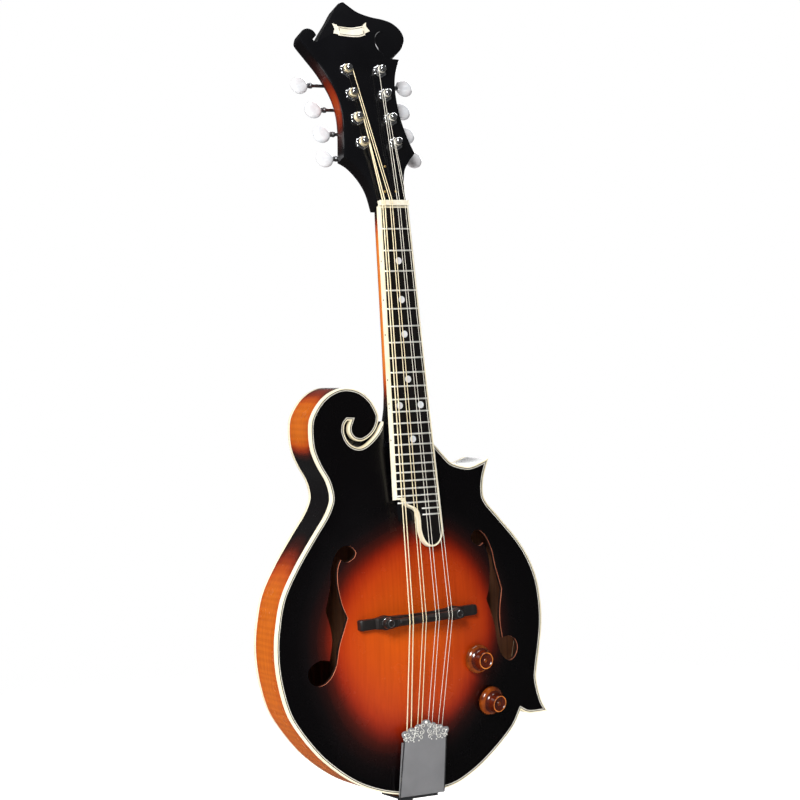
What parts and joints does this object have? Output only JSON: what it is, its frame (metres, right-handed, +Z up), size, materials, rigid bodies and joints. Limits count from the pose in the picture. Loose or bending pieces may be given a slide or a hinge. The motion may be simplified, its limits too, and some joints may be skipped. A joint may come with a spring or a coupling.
{
  "type": "mandolin",
  "caption": "Scroll-body arched-top mandolin with f-holes, geared tuners, height-adjustable bridge, sliding tailpiece cover, volume and tone knobs and an end-pin jack.",
  "frame": {"origin": "inside the neck on its centre line, 12 mm behind the plane of the fretboard at the nut, where a wall hanger holds the neck", "axes": "+Z up along the body towards the headstock, +Y from the face to the back, +X to the treble side"},
  "size_m": [0.2643, 0.1278, 0.703],
  "materials": {
    "spruce_top": "carved spruce stained in a sunburst, orange in the middle to black at the edge, gloss lacquer",
    "maple": "maple stained in a sunburst, gloss lacquer",
    "bare_wood": "bare spruce or maple inside the body",
    "ebony": "black hardwood, satin",
    "black_veneer": "black lacquered veneer, high gloss",
    "black_plastic": "black gloss",
    "binding": "cream, polished",
    "bone": "bone, polished",
    "pearl": "pearl white, polished",
    "chrome": "polished chrome plate",
    "nickel": "nickel plate, satin",
    "bronze": "phosphor bronze",
    "steel": "plain steel",
    "amber": "translucent amber, glossy"
  },
  "bodies": {
    "instrument": {"soundboard": "spruce_top", "back_plate": "maple", "top_binding": "binding", "back_binding": "binding", "rim": "maple", "head_block": "bare_wood", "tail_block": "bare_wood", "bass_top_lining": "bare_wood", "treble_top_lining": "bare_wood", "bass_tone_bar": "bare_wood", "treble_tone_bar": "bare_wood", "contact_pickup": "bronze", "neck": "maple", "truss_rod": "steel", "headstock_overlay": "black_veneer", "truss_rod_cover": "black_plastic", "fretboard_binding": "binding", "fretboard": "ebony", "fret_set": "steel", "fretboard_support": "ebony", "nut": "bone", "string_g1": "bronze", "string_g2": "bronze", "string_d1": "bronze", "string_d2": "bronze", "string_a1": "steel", "string_a2": "steel", "string_e1": "steel", "string_e2": "steel", "bridge_base": "ebony", "bass_bridge_post": "nickel", "treble_bridge_post": "nickel", "tailpiece_base": "nickel", "end_pin_jack": "chrome", "volume_pot": "steel", "tone_pot": "steel", "bass_tuner_plate": "nickel", "treble_tuner_plate": "nickel"},
    "bass_button_1": {"bass_button_1": "pearl"},
    "bass_post_1": {"bass_post_1": "chrome"},
    "bass_button_2": {"bass_button_2": "pearl"},
    "bass_post_2": {"bass_post_2": "chrome"},
    "bass_button_3": {"bass_button_3": "pearl"},
    "bass_post_3": {"bass_post_3": "chrome"},
    "bass_button_4": {"bass_button_4": "pearl"},
    "bass_post_4": {"bass_post_4": "chrome"},
    "treble_button_1": {"treble_button_1": "pearl"},
    "treble_post_1": {"treble_post_1": "chrome"},
    "treble_button_2": {"treble_button_2": "pearl"},
    "treble_post_2": {"treble_post_2": "chrome"},
    "treble_button_3": {"treble_button_3": "pearl"},
    "treble_post_3": {"treble_post_3": "chrome"},
    "treble_button_4": {"treble_button_4": "pearl"},
    "treble_post_4": {"treble_post_4": "chrome"},
    "volume_knob": {"volume_knob": "amber"},
    "tone_knob": {"tone_knob": "amber"},
    "bridge_saddle": {"bridge_saddle": "ebony"},
    "bass_thumbwheel": {"bass_thumbwheel": "chrome"},
    "treble_thumbwheel": {"treble_thumbwheel": "chrome"},
    "tailpiece_cover": {"tailpiece_cover": "nickel"}
  },
  "joints": [
    {"name": "bass_button_1_turn", "type": "hinge", "parent": "instrument", "child": "bass_button_1", "pos_m": [-0.0165, 0.0284, 0.04435], "axis": [-1, 0, 0], "continuous": true},
    {"name": "bass_post_1_turn", "type": "hinge", "parent": "instrument", "child": "bass_post_1", "pos_m": [-0.0165, 0.01155, 0.05631], "axis": [0, 0.9349, -0.3548], "continuous": true},
    {"name": "bass_button_2_turn", "type": "hinge", "parent": "instrument", "child": "bass_button_2", "pos_m": [-0.0165, 0.03667, 0.06613], "axis": [-1, 0, 0], "continuous": true},
    {"name": "bass_post_2_turn", "type": "hinge", "parent": "instrument", "child": "bass_post_2", "pos_m": [-0.0165, 0.01982, 0.07809], "axis": [0, 0.9349, -0.3548], "continuous": true},
    {"name": "bass_button_3_turn", "type": "hinge", "parent": "instrument", "child": "bass_button_3", "pos_m": [-0.0165, 0.04494, 0.08792], "axis": [-1, 0, 0], "continuous": true},
    {"name": "bass_post_3_turn", "type": "hinge", "parent": "instrument", "child": "bass_post_3", "pos_m": [-0.0165, 0.02808, 0.09987], "axis": [0, 0.9349, -0.3548], "continuous": true},
    {"name": "bass_button_4_turn", "type": "hinge", "parent": "instrument", "child": "bass_button_4", "pos_m": [-0.0165, 0.05321, 0.1097], "axis": [-1, 0, 0], "continuous": true},
    {"name": "bass_post_4_turn", "type": "hinge", "parent": "instrument", "child": "bass_post_4", "pos_m": [-0.0165, 0.03635, 0.12166], "axis": [0, 0.9349, -0.3548], "continuous": true},
    {"name": "treble_button_1_turn", "type": "hinge", "parent": "instrument", "child": "treble_button_1", "pos_m": [0.0165, 0.0284, 0.04435], "axis": [1, 0, 0], "continuous": true},
    {"name": "treble_post_1_turn", "type": "hinge", "parent": "instrument", "child": "treble_post_1", "pos_m": [0.0165, 0.01155, 0.05631], "axis": [0, 0.9349, -0.3548], "continuous": true},
    {"name": "treble_button_2_turn", "type": "hinge", "parent": "instrument", "child": "treble_button_2", "pos_m": [0.0165, 0.03667, 0.06613], "axis": [1, 0, 0], "continuous": true},
    {"name": "treble_post_2_turn", "type": "hinge", "parent": "instrument", "child": "treble_post_2", "pos_m": [0.0165, 0.01982, 0.07809], "axis": [0, 0.9349, -0.3548], "continuous": true},
    {"name": "treble_button_3_turn", "type": "hinge", "parent": "instrument", "child": "treble_button_3", "pos_m": [0.0165, 0.04494, 0.08792], "axis": [1, 0, 0], "continuous": true},
    {"name": "treble_post_3_turn", "type": "hinge", "parent": "instrument", "child": "treble_post_3", "pos_m": [0.0165, 0.02808, 0.09987], "axis": [0, 0.9349, -0.3548], "continuous": true},
    {"name": "treble_button_4_turn", "type": "hinge", "parent": "instrument", "child": "treble_button_4", "pos_m": [0.0165, 0.05321, 0.1097], "axis": [1, 0, 0], "continuous": true},
    {"name": "treble_post_4_turn", "type": "hinge", "parent": "instrument", "child": "treble_post_4", "pos_m": [0.0165, 0.03635, 0.12166], "axis": [0, 0.9349, -0.3548], "continuous": true},
    {"name": "volume_turn", "type": "hinge", "parent": "instrument", "child": "volume_knob", "pos_m": [0.0543, -0.03439, -0.3892], "axis": [0.0971, -0.9944, -0.0421], "range_deg": [-150, 150]},
    {"name": "tone_turn", "type": "hinge", "parent": "instrument", "child": "tone_knob", "pos_m": [0.0692, -0.02863, -0.4271], "axis": [0.1762, -0.9731, -0.1486], "range_deg": [-150, 150]},
    {"name": "saddle_lift", "type": "slide", "parent": "instrument", "child": "bridge_saddle", "axis": [0, -1, 0], "range_m": [0, 0.002], "deforming": ["string_g1", "string_g2", "string_d1", "string_d2", "string_a1", "string_a2", "string_e1", "string_e2"]},
    {"name": "bass_thumbwheel_turn", "type": "hinge", "parent": "bridge_saddle", "child": "bass_thumbwheel", "pos_m": [-0.03637, -0.04115, -0.3502], "axis": [0, -1, 0], "range_deg": [0, 1030]},
    {"name": "treble_thumbwheel_turn", "type": "hinge", "parent": "bridge_saddle", "child": "treble_thumbwheel", "pos_m": [0.03037, -0.04115, -0.3474], "axis": [0, -1, 0], "range_deg": [0, 1030]},
    {"name": "cover_slide", "type": "slide", "parent": "instrument", "child": "tailpiece_cover", "axis": [0, 0.165, -0.9863], "range_m": [0, 0.06]}
  ],
  "couplings": [
    {"joint": "bass_post_1_turn", "follows": "bass_button_1_turn", "ratio": -0.071429},
    {"joint": "bass_post_2_turn", "follows": "bass_button_2_turn", "ratio": -0.071429},
    {"joint": "bass_post_3_turn", "follows": "bass_button_3_turn", "ratio": -0.071429},
    {"joint": "bass_post_4_turn", "follows": "bass_button_4_turn", "ratio": -0.071429},
    {"joint": "treble_post_1_turn", "follows": "treble_button_1_turn", "ratio": -0.071429},
    {"joint": "treble_post_2_turn", "follows": "treble_button_2_turn", "ratio": -0.071429},
    {"joint": "treble_post_3_turn", "follows": "treble_button_3_turn", "ratio": -0.071429},
    {"joint": "treble_post_4_turn", "follows": "treble_button_4_turn", "ratio": -0.071429},
    {"joint": "bass_thumbwheel_turn", "follows": "saddle_lift", "rad_per_m": 8976},
    {"joint": "treble_thumbwheel_turn", "follows": "saddle_lift", "rad_per_m": 8976}
  ]
}
